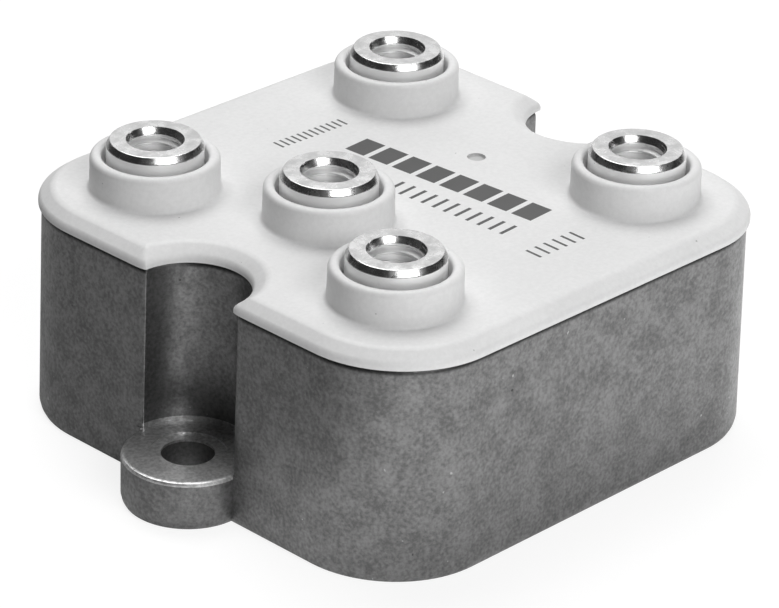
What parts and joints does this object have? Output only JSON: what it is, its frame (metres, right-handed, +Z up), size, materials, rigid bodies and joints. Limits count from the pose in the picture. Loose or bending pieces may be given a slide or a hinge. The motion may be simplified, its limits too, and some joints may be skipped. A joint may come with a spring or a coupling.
{
  "type": "bridge rectifier module",
  "caption": "Three-phase bridge rectifier in a squared die-cast can with two screw ears, a light moulded cover and round tapped terminals standing in raised collars.",
  "frame": {"origin": "centre of the flat foot, on the surface the module stands on", "axes": "+X through the two screw ears, away from the fifth terminal; +Y along the plain sides, towards the first and second input terminals; +Z up, out of the terminals"},
  "size_m": [0.0624, 0.0512, 0.0266],
  "materials": {
    "cast_metal": "matt as-cast, fine-grained",
    "cover_plastic": "satin moulded",
    "plated_brass": "nickel plated, turned",
    "ceramic": "matt white alumina",
    "copper": "bright rolled copper",
    "silicon": "dark polished",
    "silvered_copper": "satin silver",
    "gel": "clear soft gel",
    "resin": "cast resin"
  },
  "bodies": {
    "root": {"case": "cast_metal", "cover": "cover_plastic", "terminal_ac_one": "plated_brass", "terminal_ac_two": "plated_brass", "terminal_ac_three": "plated_brass", "terminal_plus": "plated_brass", "terminal_minus": "plated_brass", "ceramic_plate": "ceramic", "track_ac_one": "copper", "track_ac_two": "copper", "track_ac_three": "copper", "track_plus": "copper", "diode_plus_one": "silicon", "disc_plus_one": "silvered_copper", "diode_minus_one": "silicon", "disc_minus_one": "silvered_copper", "diode_plus_two": "silicon", "disc_plus_two": "silvered_copper", "diode_minus_two": "silicon", "disc_minus_two": "silvered_copper", "diode_plus_three": "silicon", "disc_plus_three": "silvered_copper", "diode_minus_three": "silicon", "disc_minus_three": "silvered_copper", "input_link_one": "copper", "minus_link_one": "copper", "input_link_two": "copper", "minus_link_two": "copper", "input_link_three": "copper", "minus_link_three": "copper", "riser_ac_one": "copper", "riser_ac_two": "copper", "riser_ac_three": "copper", "riser_plus": "copper", "minus_bus": "copper", "soft_gel": "gel", "casting_resin": "resin"}
  },
  "joints": []
}
